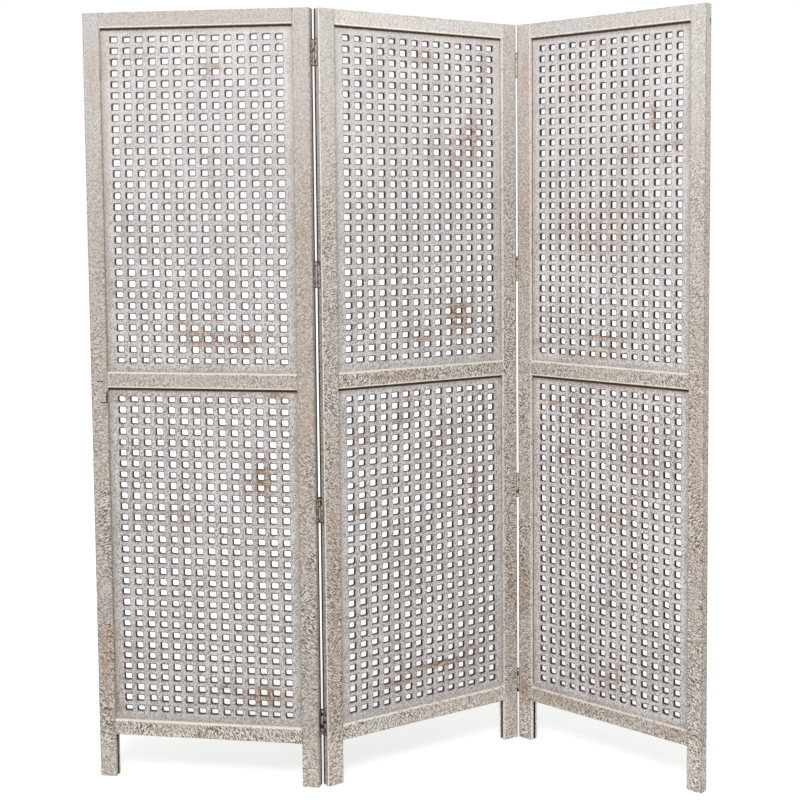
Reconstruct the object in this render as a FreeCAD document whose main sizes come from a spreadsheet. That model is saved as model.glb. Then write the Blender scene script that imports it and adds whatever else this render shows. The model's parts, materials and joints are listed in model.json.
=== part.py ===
import FreeCAD, Part
import os
import Sketcher

# Folding jali screen: three framed panels of pierced boards, joined by two rows of butt hinges.
# Millimetres and degrees. +Z is up, the floor is z = 0 and the viewer stands on the -Y side.
# A panel has a frame of its own: x runs from its left edge to its right edge, y = 0 is the middle
# of its thickness with the front face on the -y side, and z = 0 is the underside of its feet.

DIMENSIONS = (
    ("panel_height", 1700, "floor to the top of the frame"),
    ("panel_width", 508, "left edge to right edge of one panel"),
    ("frame_thickness", 22, "front face to back face of the frame"),
    ("stile_width", 38, "face width of an upright"),
    ("top_rail_height", 33, "face height of the top rail"),
    ("middle_rail_height", 35, "face height of the middle rail"),
    ("bottom_rail_height", 35, "face height of the bottom rail"),
    ("leg_length", 97, "floor to the underside of the bottom rail"),
    ("edge_easing", 0.8, "small chamfer that takes the sharp edge off the frame"),
    ("tenon_length", 20, "reach of a tenon into its stile"),
    ("tenon_thickness", 8, "front to back thickness of a tenon"),
    ("tenon_shoulder", 9, "height left above and below a tenon"),
    ("tenon_clearance", 0.1, "gap on each side of a tenon in its mortise"),
    ("board_thickness", 8, "front to back thickness of a pierced board"),
    ("groove_depth", 8, "depth of the groove that holds a board"),
    ("board_face_clearance", 0.1, "gap on each face of a board in its groove"),
    ("board_edge_clearance", 0.5, "gap past each edge of a board in its groove"),
    ("hole_columns", 14, "holes across a board"),
    ("hole_rows", 30, "holes up a board"),
    ("hole_pitch_across", 28.6, "centre to centre of two holes in a row"),
    ("hole_pitch_up", 24.1, "centre to centre of two holes in a column"),
    ("hole_width", 16, "clear width of a hole"),
    ("hole_height", 13.5, "clear height of a hole"),
    ("hole_corner_cut", 1.6, "leg of the small flat across a hole's corner"),
    ("panel_gap", 4, "gap between two neighbouring panels in line"),
    ("pin_stand_off", 1, "hinge axis outside the panel's face"),
    ("hinge_length", 58, "height of a hinge"),
    ("hinge_middle_height", 874, "floor to the middle of a row of hinges"),
    ("hinge_inner_offset", 258, "middle of the row to an inner hinge's centre"),
    ("hinge_outer_offset", 733, "middle of the row to an outer hinge's centre"),
    ("leaf_thickness", 1.2, "sheet thickness of a hinge leaf"),
    ("leaf_reach", 17, "hinge axis to the free edge of a leaf"),
    ("leaf_corner_radius", 3, "rounding of a leaf's free corners"),
    ("leaf_notch_clearance", 0.5, "gap between a leaf's plate and the other leaf's knuckles"),
    ("knuckle_end_clearance", 0.3, "gap between two neighbouring knuckles"),
    ("pin_radius", 1, "radius of a hinge pin"),
    ("pin_clearance", 0.05, "radial running clearance of a hinge pin"),
    ("pin_end_easing", 0.4, "chamfer on the ends of a hinge pin"),
    ("screw_line", 10, "hinge axis to the row of screws in a leaf"),
    ("screw_pitch", 19, "centre to centre of two screws in a leaf"),
    ("screw_length", 16, "head to tip of a hinge screw"),
    ("screw_tip_length", 3, "length of a screw's point"),
    ("screw_tip_radius", 0.3, "radius at the end of a screw's point"),
    ("screw_shank_radius", 1.5, "radius of a hinge screw's shank"),
    ("screw_head_radius", 2.8, "radius of a countersunk screw head"),
    ("screw_clearance", 0.05, "gap between a screw and its hole"),
    ("screw_slot_width", 0.8, "width of the slot in a screw head"),
    ("screw_slot_depth", 0.7, "depth of the slot in a screw head"),
    ("cut_overrun", 1, "how far a cut runs out past the surface that it starts from"),
    ("centre_panel_yaw", 33, "turn of the centre panel, its right edge away from the viewer"),
    ("left_fold", 41.9, "how far the left panel is folded back from in line"),
    ("right_fold", 73.7, "how far the right panel is folded forward from in line"),
)

LEAF_KNUCKLES = {"centre": 3, "outer": 2}
LEAF_SCREWS = 3
HINGE_LEVELS = ("bottom", "lower", "upper", "top")

doc = FreeCAD.newDocument("folding_jali_screen")
sheet = doc.addObject("Spreadsheet::Sheet", "dims")
for row, (alias, number, meaning) in enumerate(DIMENSIONS, start=1):
    sheet.set(f"A{row}", alias)
    sheet.set(f"B{row}", str(number))
    sheet.set(f"C{row}", meaning)
    sheet.setAlias(f"B{row}", alias)
doc.recompute()

# Heights and places that follow from the sheet, as expressions.
HALF_THICKNESS = "dims.frame_thickness / 2"
OPENING_LEFT = "dims.stile_width"
OPENING_RIGHT = "(dims.panel_width - dims.stile_width)"
OPENING_HEIGHT = (
    "((dims.panel_height - dims.top_rail_height - dims.middle_rail_height"
    " - dims.bottom_rail_height - dims.leg_length) / 2)"
)
BOTTOM_RAIL_TOP = "(dims.leg_length + dims.bottom_rail_height)"
MIDDLE_RAIL_LOW = f"({BOTTOM_RAIL_TOP} + {OPENING_HEIGHT})"
MIDDLE_RAIL_TOP = f"({MIDDLE_RAIL_LOW} + dims.middle_rail_height)"
TOP_RAIL_LOW = "(dims.panel_height - dims.top_rail_height)"
RAILS = {
    "bottom_rail": ("dims.leg_length", BOTTOM_RAIL_TOP),
    "middle_rail": (MIDDLE_RAIL_LOW, MIDDLE_RAIL_TOP),
    "top_rail": (TOP_RAIL_LOW, "dims.panel_height"),
}
OPENINGS = {
    "lower": (BOTTOM_RAIL_TOP, MIDDLE_RAIL_LOW),
    "upper": (MIDDLE_RAIL_TOP, TOP_RAIL_LOW),
}
MORTISE_DEPTH = "(dims.tenon_length + dims.tenon_clearance)"
MORTISE_THICKNESS = "dims.tenon_thickness + 2 * dims.tenon_clearance"
GROOVE_THICKNESS = "dims.board_thickness + 2 * dims.board_face_clearance"
BOARD_TONGUE = "(dims.groove_depth - dims.board_edge_clearance)"
HALF_GAP = "(dims.panel_gap / 2)"
PIN_OFFSET = f"({HALF_THICKNESS} + dims.pin_stand_off)"
HALF_HINGE = "(dims.hinge_length / 2)"
KNUCKLE_PITCH = f"(dims.hinge_length / {sum(LEAF_KNUCKLES.values())})"
KNUCKLE_LENGTH = f"({KNUCKLE_PITCH} - dims.knuckle_end_clearance)"
PLATE_START = f"({HALF_GAP} + dims.leaf_notch_clearance)"
HINGE_HEIGHTS = {
    "bottom": "(dims.hinge_middle_height - dims.hinge_outer_offset)",
    "lower": "(dims.hinge_middle_height - dims.hinge_inner_offset)",
    "upper": "(dims.hinge_middle_height + dims.hinge_inner_offset)",
    "top": "(dims.hinge_middle_height + dims.hinge_outer_offset)",
}


def value(expression):
    """Number that an expression on the sheet gives."""
    return float(sheet.evalExpression(expression))


def vector(x=0, y=0, z=0):
    return FreeCAD.Vector(x, y, z)


def new_body(name):
    body = doc.addObject("PartDesign::Body", name)
    body.Label = name
    return body


def origin_part(body, role):
    return next(item for item in body.Origin.OriginFeatures if item.Role == role)


def new_sketch(body, name, plane, offset=None):
    """Sketch on one of the body's own planes, moved along its normal by an expression."""
    sketch = body.newObject("Sketcher::SketchObject", name)
    sketch.AttachmentSupport = [(origin_part(body, plane), "")]
    sketch.MapMode = "FlatFace"
    if offset:
        sketch.setExpression(".AttachmentOffset.Base.z", offset)
    return sketch


def bind_point(sketch, geometry, point, across, up):
    """Tie a point of the sketch to two expressions, measured from the sketch's origin."""
    for kind, axis, expression in (("DistanceX", -2, across), ("DistanceY", -1, up)):
        distance = value(expression)
        if distance == 0:
            sketch.addConstraint(Sketcher.Constraint("PointOnObject", geometry, point, axis))
        else:
            index = sketch.addConstraint(
                Sketcher.Constraint(kind, -1, 1, geometry, point, distance)
            )
            sketch.setExpression(f"Constraints[{index}]", expression)


def add_outline(sketch, corners):
    """Closed outline of straight lines through corners, each a pair of expressions."""
    points = [vector(value(across), value(up)) for across, up in corners]
    first = sketch.GeometryCount
    count = len(points)
    for index, point in enumerate(points):
        sketch.addGeometry(Part.LineSegment(point, points[(index + 1) % count]), False)
    for index, (across, up) in enumerate(corners):
        following = first + (index + 1) % count
        sketch.addConstraint(Sketcher.Constraint("Coincident", first + index, 2, following, 1))
        bind_point(sketch, first + index, 1, across, up)


def add_rectangle(sketch, left, right, low, high):
    add_outline(sketch, [(left, low), (right, low), (right, high), (left, high)])


def add_circle(sketch, across, up, radius):
    circle = Part.Circle(vector(value(across), value(up)), vector(z=1), value(radius))
    index = sketch.addGeometry(circle, False)
    bind_point(sketch, index, 3, across, up)
    constraint = sketch.addConstraint(Sketcher.Constraint("Radius", index, value(radius)))
    sketch.setExpression(f"Constraints[{constraint}]", radius)


def pad(body, sketch, length, both_ways=False):
    """Add material over a sketch, along its normal or half to each side of it."""
    feature = body.newObject("PartDesign::Pad", f"{sketch.Name}_pad")
    feature.Profile = sketch
    feature.Midplane = both_ways
    feature.setExpression("Length", length)
    return feature


def pocket(body, sketch, length, both_ways=False, along_normal=False):
    """Cut under a sketch, against its normal, along it, or half to each side of it."""
    feature = body.newObject("PartDesign::Pocket", f"{sketch.Name}_pocket")
    feature.Profile = sketch
    feature.Midplane = both_ways
    feature.Reversed = along_normal
    feature.setExpression("Length", length)
    return feature


def ease_edges(body, base, kind, property_name, size, wanted):
    """Chamfer or fillet the edges of a feature for which wanted(edge) is true."""
    base.recompute(True)
    names = [f"Edge{number}" for number, edge in enumerate(base.Shape.Edges, 1) if wanted(edge)]
    feature = body.newObject(kind, f"{base.Name}_eased")
    feature.Base = (base, names)
    feature.setExpression(property_name, size)
    return feature


def runs_along(axis):
    """Test for a straight edge that is parallel to an axis."""
    def test(edge):
        start, end = (vertex.Point for vertex in edge.Vertexes)
        return (end - start).normalize().cross(axis).Length < 0.5
    return test


def pattern_along_z(body, originals, count, pitch):
    feature = body.newObject("PartDesign::LinearPattern", f"{originals[0].Name}_row")
    feature.Originals = originals
    feature.Direction = (origin_part(body, "Z_Axis"), [""])
    feature.Mode = "Spacing"
    feature.setExpression("Offset", pitch)
    feature.Occurrences = count
    body.Tip = feature
    return feature


def make_stile(name, side, hinge_face):
    """Upright of a panel, with a groove for the boards that runs out through its foot and its top.
    side is left or right. hinge_face is the face beside which its hinges have their pins, front
    or back, or None on an outer edge of the screen."""
    body = new_body(name)
    left = "0" if side == "left" else OPENING_RIGHT
    right = OPENING_LEFT if side == "left" else "dims.panel_width"
    outline = new_sketch(body, f"{name}_outline", "XZ_Plane")
    add_rectangle(outline, left, right, "0", "dims.panel_height")
    blank = pad(body, outline, "dims.frame_thickness", both_ways=True)
    ease_edges(body, blank, "PartDesign::Chamfer", "Size", "dims.edge_easing", lambda edge: True)

    def inner_edge_band(depth):
        """From the given depth in the wood to just outside the inner edge."""
        if side == "left":
            return f"({OPENING_LEFT} - {depth})", f"({OPENING_LEFT} + dims.cut_overrun)"
        return f"({OPENING_RIGHT} - dims.cut_overrun)", f"({OPENING_RIGHT} + {depth})"

    mortises = new_sketch(body, f"{name}_mortises", "XZ_Plane")
    for low, high in RAILS.values():
        add_rectangle(
            mortises,
            *inner_edge_band(MORTISE_DEPTH),
            f"({low} + dims.tenon_shoulder - dims.tenon_clearance)",
            f"({high} - dims.tenon_shoulder + dims.tenon_clearance)",
        )
    pocket(body, mortises, MORTISE_THICKNESS, both_ways=True)

    groove = new_sketch(body, f"{name}_groove", "XZ_Plane")
    ends = ("0 - dims.cut_overrun", "dims.panel_height + dims.cut_overrun")
    add_rectangle(groove, *inner_edge_band("dims.groove_depth"), *ends)
    pocket(body, groove, GROOVE_THICKNESS, both_ways=True)

    if hinge_face:
        outer_edge = "0" if side == "left" else "dims.panel_width"
        pilots = new_sketch(body, f"{name}_pilot_holes", "YZ_Plane", outer_edge)
        line = screw_line_in_panel(hinge_face)
        for level in HINGE_LEVELS:
            for step in screw_steps():
                height = f"({HINGE_HEIGHTS[level]} + {step} * dims.screw_pitch)"
                add_circle(pilots, line, height, "dims.screw_shank_radius + dims.screw_clearance")
        depth = "dims.screw_length - dims.leaf_thickness + dims.screw_clearance"
        pocket(body, pilots, depth, along_normal=(side == "left"))
    return body


def screw_steps():
    """Places of the screws in a leaf, counted in pitches from its middle."""
    middle = (LEAF_SCREWS - 1) / 2
    return [index - middle for index in range(LEAF_SCREWS)]


def screw_line_in_panel(hinge_face):
    """Place of the row of screws across a panel's thickness."""
    if hinge_face == "back":
        return f"({PIN_OFFSET} - dims.screw_line)"
    return f"(dims.screw_line - {PIN_OFFSET})"


def make_rail(name, kind):
    """Cross piece of a panel, with a groove along each edge that faces a board. Each end has a
    tenon, and beside it a haunch as deep as the stile's groove, which it fills."""
    body = new_body(name)
    low, high = RAILS[kind]
    outline = new_sketch(body, f"{name}_outline", "XZ_Plane")
    add_rectangle(outline, OPENING_LEFT, OPENING_RIGHT, low, high)
    blank = pad(body, outline, "dims.frame_thickness", both_ways=True)
    lengthwise = runs_along(vector(x=1))
    ease_edges(body, blank, "PartDesign::Chamfer", "Size", "dims.edge_easing", lengthwise)

    tenons = new_sketch(body, f"{name}_tenons", "XZ_Plane")
    add_rectangle(
        tenons,
        f"({OPENING_LEFT} - dims.tenon_length)",
        f"({OPENING_RIGHT} + dims.tenon_length)",
        f"({low} + dims.tenon_shoulder)",
        f"({high} - dims.tenon_shoulder)",
    )
    pad(body, tenons, "dims.tenon_thickness", both_ways=True)

    haunches = new_sketch(body, f"{name}_haunches", "XZ_Plane")
    reach = "(dims.groove_depth - dims.tenon_clearance)"
    add_rectangle(haunches, f"({OPENING_LEFT} - {reach})", f"({OPENING_RIGHT} + {reach})", low, high)
    pad(body, haunches, "dims.tenon_thickness", both_ways=True)

    grooves = new_sketch(body, f"{name}_grooves", "XZ_Plane")
    past_end = "(dims.groove_depth + dims.cut_overrun)"
    ends = (f"({OPENING_LEFT} - {past_end})", f"({OPENING_RIGHT} + {past_end})")
    if kind != "bottom_rail":
        add_rectangle(grooves, *ends, f"({low} - dims.cut_overrun)", f"({low} + dims.groove_depth)")
    if kind != "top_rail":
        add_rectangle(grooves, *ends, f"({high} - dims.groove_depth)", f"({high} + dims.cut_overrun)")
    pocket(body, grooves, GROOVE_THICKNESS, both_ways=True)
    return body


def pierced_board_shape():
    """Board with its grid of holes, centred on the origin and standing in the XZ plane.
    It is put together from one strip for each row of holes."""
    board_width = value(f"{OPENING_RIGHT} - {OPENING_LEFT} + 2 * {BOARD_TONGUE}")
    board_height = value(f"{OPENING_HEIGHT} + 2 * {BOARD_TONGUE}")
    thickness = sheet.get("board_thickness")
    columns = int(sheet.get("hole_columns"))
    rows = int(sheet.get("hole_rows"))
    pitch_across = sheet.get("hole_pitch_across")
    pitch_up = sheet.get("hole_pitch_up")
    half_width = sheet.get("hole_width") / 2
    half_height = sheet.get("hole_height") / 2
    cut = sheet.get("hole_corner_cut")
    quarter = [(half_width, half_height - cut), (half_width - cut, half_height)]
    right = [(x, -z) for x, z in reversed(quarter)] + quarter
    outline = right + [(-x, -z) for x, z in right]
    middle_column = (columns - 1) / 2
    middle_row = (rows - 1) / 2

    def ring(points):
        return Part.makePolygon([vector(x, -thickness / 2, z) for x, z in points + points[:1]])

    def face_with_holes(low, high, row_height):
        sides = [(-board_width / 2, low), (board_width / 2, low),
                 (board_width / 2, high), (-board_width / 2, high)]
        wires = [ring(sides)]
        for column in range(columns):
            centre = (column - middle_column) * pitch_across
            hole = ring([(centre + x, row_height + z) for x, z in outline])
            hole.reverse()
            wires.append(hole)
        return Part.Face(wires)

    strips = []
    for row in range(rows):
        row_height = (row - middle_row) * pitch_up
        low = row_height - pitch_up / 2 if row else -board_height / 2
        high = row_height + pitch_up / 2 if row < rows - 1 else board_height / 2
        strips.append(face_with_holes(low, high, row_height).extrude(vector(y=thickness)))
    return strips[0].multiFuse(strips[1:]).Solids[0]


def make_board(name, opening, shape):
    """Pierced board in the upper or lower opening of a panel."""
    low, high = OPENINGS[opening]
    board = doc.addObject("Part::Feature", name)
    board.Label = name
    board.Shape = shape
    centre = vector(x=value(f"({OPENING_LEFT} + {OPENING_RIGHT}) / 2"), z=value(f"({low} + {high}) / 2"))
    board.Placement = FreeCAD.Placement(centre, FreeCAD.Rotation())
    return board


def make_leaf(name, kind):
    """Hinge leaf around the hinge axis, which is its own Z axis through the middle of its height.
    Its plate reaches along +y. The centre leaf stands on the -x side and the outer on the +x side."""
    body = new_body(name)
    if kind == "centre":
        first_knuckle = 0
        plate_left = f"(0 - {HALF_GAP})"
        plate_right = f"(dims.leaf_thickness - {HALF_GAP})"
        wood_face, open_face = plate_left, plate_right
        in_wood = f"({wood_face} - dims.cut_overrun)"
        in_open = f"({open_face} + dims.cut_overrun)"
    else:
        first_knuckle = 1
        plate_left = f"({HALF_GAP} - dims.leaf_thickness)"
        plate_right = HALF_GAP
        wood_face, open_face = plate_right, plate_left
        in_wood = f"({wood_face} + dims.cut_overrun)"
        in_open = f"({open_face} - dims.cut_overrun)"

    outline = new_sketch(body, f"{name}_plate", "YZ_Plane", plate_left)
    add_rectangle(outline, PLATE_START, "dims.leaf_reach", f"(0 - {HALF_HINGE})", HALF_HINGE)
    plate = pad(body, outline, "dims.leaf_thickness")
    reach = sheet.get("leaf_reach")
    across_plate = runs_along(vector(x=1))

    def free_corner(edge):
        return across_plate(edge) and abs(edge.CenterOfMass.y - reach) < 0.01 * reach

    ease_edges(body, plate, "PartDesign::Fillet", "Radius", "dims.leaf_corner_radius", free_corner)

    start = (f"({first_knuckle} * {KNUCKLE_PITCH} + dims.knuckle_end_clearance / 2"
             f" - {HALF_HINGE})")
    barrel_outline = new_sketch(body, f"{name}_barrel", "XY_Plane", start)
    add_circle(barrel_outline, "0", "0", HALF_GAP)
    barrel = pad(body, barrel_outline, KNUCKLE_LENGTH)
    tongue_outline = new_sketch(body, f"{name}_tongue", "XY_Plane", start)
    add_rectangle(tongue_outline, plate_left, plate_right, "0", PLATE_START)
    tongue = pad(body, tongue_outline, KNUCKLE_LENGTH)
    pattern_along_z(body, [barrel, tongue], LEAF_KNUCKLES[kind], f"2 * {KNUCKLE_PITCH}")

    bore_outline = new_sketch(body, f"{name}_bore", "XY_Plane")
    add_circle(bore_outline, "0", "0", "dims.pin_radius + dims.pin_clearance")
    pocket(body, bore_outline, "dims.hinge_length", both_ways=True)

    first_screw = f"({screw_steps()[0]} * dims.screw_pitch)"
    countersink = new_sketch(body, f"{name}_countersink", "XY_Plane", first_screw)
    shank = "(dims.screw_line + dims.screw_shank_radius + dims.screw_clearance)"
    head = "(dims.screw_line + dims.screw_head_radius + dims.screw_clearance)"
    add_outline(countersink, [
        (in_wood, "dims.screw_line"),
        (in_open, "dims.screw_line"),
        (in_open, head),
        (open_face, head),
        (wood_face, shank),
        (in_wood, shank),
    ])
    hole = body.newObject("PartDesign::Groove", f"{name}_screw_hole")
    hole.Profile = countersink
    hole.ReferenceAxis = (countersink, ["Edge1"])
    hole.Angle = 360
    pattern_along_z(body, [hole], LEAF_SCREWS, "dims.screw_pitch")
    return body


def make_pin(name):
    """Hinge pin around its own Z axis, as long as the row of knuckles."""
    body = new_body(name)
    outline = new_sketch(body, f"{name}_outline", "XY_Plane")
    add_circle(outline, "0", "0", "dims.pin_radius")
    shaft = pad(body, outline, "dims.hinge_length", both_ways=True)
    circle_edge = lambda edge: edge.isClosed()
    ease_edges(body, shaft, "PartDesign::Chamfer", "Size", "dims.pin_end_easing", circle_edge)
    return body


def make_screw(name):
    """Countersunk wood screw along +x, with the face of its head at the origin."""
    body = new_body(name)
    profile = new_sketch(body, f"{name}_profile", "XY_Plane")
    add_outline(profile, [
        ("0", "0"),
        ("dims.screw_length", "0"),
        ("dims.screw_length", "dims.screw_tip_radius"),
        ("dims.screw_length - dims.screw_tip_length", "dims.screw_shank_radius"),
        ("dims.leaf_thickness", "dims.screw_shank_radius"),
        ("0", "dims.screw_head_radius"),
    ])
    turned = body.newObject("PartDesign::Revolution", f"{name}_turned")
    turned.Profile = profile
    turned.ReferenceAxis = (profile, ["Edge1"])
    turned.Angle = 360
    slot = new_sketch(body, f"{name}_slot", "XY_Plane")
    reach = "dims.screw_head_radius + dims.cut_overrun"
    add_rectangle(slot, "0 - dims.cut_overrun", "dims.screw_slot_depth", f"0 - ({reach})", reach)
    pocket(body, slot, "dims.screw_slot_width", both_ways=True)
    return body


def make_screw_group(name, screw, hinge_face, side):
    """The screws of one row of leaves, in the frame of the panel that they are driven into.
    side is the edge of the panel, left or right."""
    places = []
    for level in HINGE_LEVELS:
        for step in screw_steps():
            places.append(value(f"{HINGE_HEIGHTS[level]} + {step} * dims.screw_pitch"))
    if side == "left":
        head = -sheet.get("leaf_thickness")
        turn = FreeCAD.Rotation()
    else:
        head = value("dims.panel_width + dims.leaf_thickness")
        turn = FreeCAD.Rotation(vector(z=1), 180)
    line = value(screw_line_in_panel(hinge_face))
    copies = []
    for height in places:
        copy = screw.Shape.copy()
        copy.Placement = FreeCAD.Placement(vector(head, line, height), turn)
        copies.append(copy)
    group = doc.addObject("Part::Feature", name)
    group.Label = name
    group.Shape = Part.makeCompound(copies)
    return group


def turned_about(point, degrees):
    """Placement that turns about a vertical line through a point."""
    turn = FreeCAD.Rotation(vector(z=1), degrees)
    return FreeCAD.Placement(point - turn.multVec(point), turn)


def shifted(point):
    return FreeCAD.Placement(point, FreeCAD.Rotation())


def panel_placements():
    """Placement of each panel's frame, and of the two hinge axes in the centre panel's frame.
    The middle of the whole screen's outline is the origin."""
    width = sheet.get("panel_width")
    gap = sheet.get("panel_gap")
    pin_offset = value(PIN_OFFSET)
    left_axis = vector(x=-gap / 2, y=pin_offset)
    right_axis = vector(x=width + gap / 2, y=-pin_offset)
    centre = FreeCAD.Placement(vector(), FreeCAD.Rotation(vector(z=1), sheet.get("centre_panel_yaw")))
    places = {
        "left": centre.multiply(turned_about(left_axis, -sheet.get("left_fold")))
        .multiply(shifted(vector(x=-width - gap))),
        "centre": centre,
        "right": centre.multiply(turned_about(right_axis, -sheet.get("right_fold")))
        .multiply(shifted(vector(x=width + gap))),
    }
    half = sheet.get("frame_thickness") / 2
    easing = sheet.get("edge_easing")
    corners = []
    for x, inward in ((0, easing), (width, -easing)):
        for side in (-1, 1):
            corners.append(vector(x + inward, side * half))
            corners.append(vector(x, side * (half - easing)))
    spots = [place.multVec(corner) for place in places.values() for corner in corners]
    middle = vector(
        (min(spot.x for spot in spots) + max(spot.x for spot in spots)) / 2,
        (min(spot.y for spot in spots) + max(spot.y for spot in spots)) / 2,
    )
    back_to_middle = shifted(-middle)
    places = {name: back_to_middle.multiply(place) for name, place in places.items()}
    return places, {"left": left_axis, "right": right_axis}


def put(node, placement):
    """Move a finished node from a panel's frame, or a hinge's, to its place in the screen."""
    node.Placement = placement.multiply(node.Placement)
    nodes.append(node)


nodes = []
places, axes = panel_placements()

# The face beside which the hinges of each panel edge have their pins: the left joint folds the
# panels back to back, and the right joint folds them face to face.
HINGE_FACES = {
    ("left", "left"): None,
    ("left", "right"): "back",
    ("centre", "left"): "back",
    ("centre", "right"): "front",
    ("right", "left"): "front",
    ("right", "right"): None,
}

board_shape = pierced_board_shape()
for panel, place in places.items():
    for side in ("left", "right"):
        put(make_stile(f"{panel}_panel_{side}_stile", side, HINGE_FACES[panel, side]), place)
    for kind in RAILS:
        put(make_rail(f"{panel}_panel_{kind}", kind), place)
    for opening in OPENINGS:
        put(make_board(f"{panel}_panel_{opening}_board", opening, board_shape), place)

screw = make_screw("hinge_screw")
doc.recompute()
for joint, axis in axes.items():
    fold = -sheet.get(f"{joint}_fold")
    half_turn = 180 if joint == "left" else 0
    edges = {
        "centre": ("centre", joint),
        "outer": (joint, "right" if joint == "left" else "left"),
    }
    frames = {
        "centre": places["centre"],
        "outer": places["centre"].multiply(turned_about(axis, fold)),
    }
    for level in HINGE_LEVELS:
        spot = FreeCAD.Placement(
            axis + vector(z=value(HINGE_HEIGHTS[level])), FreeCAD.Rotation(vector(z=1), half_turn)
        )
        for kind, frame in frames.items():
            put(make_leaf(f"{joint}_{level}_hinge_{kind}_leaf", kind), frame.multiply(spot))
        put(make_pin(f"{joint}_{level}_hinge_pin"), frames["centre"].multiply(spot))
    for kind, (panel, side) in edges.items():
        group = make_screw_group(
            f"{joint}_hinges_{kind}_screws", screw, HINGE_FACES[panel, side], side
        )
        put(group, places[panel])

doc.recompute()

for item in doc.Objects:
    if "Invalid" in item.State or "Error" in item.State:
        raise RuntimeError(f"{item.Name} failed: {item.State}")
for item in doc.Objects:
    if item.TypeId in ("PartDesign::Pocket", "PartDesign::Groove"):
        if item.Shape.Volume >= item.BaseFeature.Shape.Volume:
            raise RuntimeError(f"{item.Name} cuts nothing")
if not board_shape.isValid():
    raise RuntimeError("the pierced board has no valid shape")
for node in nodes:
    if node.Shape.isNull():
        raise RuntimeError(f"{node.Label} has no shape")
    # The boards are one shape in six places, which is checked above.
    if not node.Shape.isPartner(board_shape) and not node.Shape.isValid():
        raise RuntimeError(f"{node.Label} has no valid shape")

os.makedirs("parts", exist_ok=True)
for node in nodes:
    node.Shape.exportStep(f"parts/{node.Label}.step")

for joint, axis in axes.items():
    pin = places["centre"].multVec(axis)
    print(f"{joint} hinge axis at x {pin.x:.3f} y {pin.y:.3f}")
box = Part.makeCompound([node.Shape for node in nodes]).BoundBox
print(f"{len(nodes)} nodes, {box.XLength:.2f} x {box.YLength:.2f} x {box.ZLength:.2f} mm")
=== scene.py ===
import json
import math
import random

import bpy
from mathutils import Matrix, Vector, noise


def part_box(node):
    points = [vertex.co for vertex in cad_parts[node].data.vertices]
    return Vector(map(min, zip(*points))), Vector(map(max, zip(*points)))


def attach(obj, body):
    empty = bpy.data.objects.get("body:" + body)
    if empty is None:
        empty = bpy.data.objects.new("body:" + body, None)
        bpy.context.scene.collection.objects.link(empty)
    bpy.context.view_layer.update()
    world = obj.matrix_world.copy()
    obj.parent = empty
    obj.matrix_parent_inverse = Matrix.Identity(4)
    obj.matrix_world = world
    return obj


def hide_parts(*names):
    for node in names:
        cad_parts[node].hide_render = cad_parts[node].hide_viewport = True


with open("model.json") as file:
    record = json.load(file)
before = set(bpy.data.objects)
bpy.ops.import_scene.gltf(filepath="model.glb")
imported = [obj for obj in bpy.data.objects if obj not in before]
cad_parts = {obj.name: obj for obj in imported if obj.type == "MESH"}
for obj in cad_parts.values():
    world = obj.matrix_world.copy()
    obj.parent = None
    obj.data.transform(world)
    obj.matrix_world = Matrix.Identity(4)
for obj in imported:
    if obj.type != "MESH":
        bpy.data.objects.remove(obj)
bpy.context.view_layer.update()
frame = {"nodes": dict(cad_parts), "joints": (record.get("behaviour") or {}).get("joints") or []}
scene = bpy.context.scene
MM = 0.001

# Sizes of a panel, in millimetres. Its own frame has x across, y back from the middle of its
# thickness, and z up from the floor.
WIDTH = 508.0
THICK = 22.0
STILE = 38.0
GROOVE_HALF = 4.1
GROOVE_DEPTH = 8.0
TONGUE = 7.5
BOARD_HALF = 4.0
HAUNCH = GROOVE_DEPTH - 0.1
COLUMNS = 14
ROWS = 30
PITCH_X = 28.6
PITCH_Z = 24.1
HOLE_X = 16.0
HOLE_Z = 13.5
GAP = 4.0
PIN_OUT = THICK / 2 + 1.0
# The joined edges stand a little into the gap between their panels on the side of the hinge pins.
BULGE = 0.5
# How far an arris is eased, on a plain edge and on a joined one, and at a stile's sawn ends.
PLAIN_EASE = 1.25
JOINED_EASE = 0.8
END_EASE = 0.9
# How far from an arris its wear or wash reaches over a bar's face, and over what it fades out.
ARRIS_REACH = 3.2
ARRIS_FADE = 1.6
# How far behind its lip the painted shade inside a groove begins.
LIP_DEPTH = 1.5
STATION_SPACING = 9.0


def heights(node):
    """Lowest and highest point of a CAD node, in millimetres."""
    low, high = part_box(node)
    return low.z / MM, high.z / MM


RAILS = {
    kind: heights(f"centre_panel_{kind}") for kind in ("bottom_rail", "middle_rail", "top_rail")
}
HEIGHT = RAILS["top_rail"][1]
OPENINGS = {
    "lower_board": (RAILS["bottom_rail"][1], RAILS["middle_rail"][0]),
    "upper_board": (RAILS["middle_rail"][1], RAILS["top_rail"][0]),
}

# The panels' turns follow from the two hinge axes and from how far each joint can still unfold.
joints = {joint["name"]: joint for joint in frame["joints"]}
pins = {name: Vector(joint["pos_m"]) for name, joint in joints.items()}
across = pins["right_fold"] - pins["left_fold"]
CENTRE_TURN = math.degrees(math.atan2(across.y, across.x) + math.atan2(2 * PIN_OUT, WIDTH + GAP))
TURNS = {
    "left": CENTRE_TURN - joints["left_fold"]["range_deg"][1],
    "centre": CENTRE_TURN,
    "right": CENTRE_TURN - joints["right_fold"]["range_deg"][1],
}


def panel_matrix(panel):
    """Place of a panel's own frame in the screen."""
    turn = Matrix.Rotation(math.radians(TURNS[panel]), 4, "Z")
    pin = pins["right_fold" if panel == "right" else "left_fold"].copy()
    pin.z = 0
    pin_in_panel = {
        "left": Vector((WIDTH + GAP / 2, PIN_OUT, 0)),
        "centre": Vector((-GAP / 2, PIN_OUT, 0)),
        "right": Vector((-GAP / 2, -PIN_OUT, 0)),
    }[panel] * MM
    return Matrix.Translation(pin - turn @ pin_in_panel) @ turn
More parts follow.
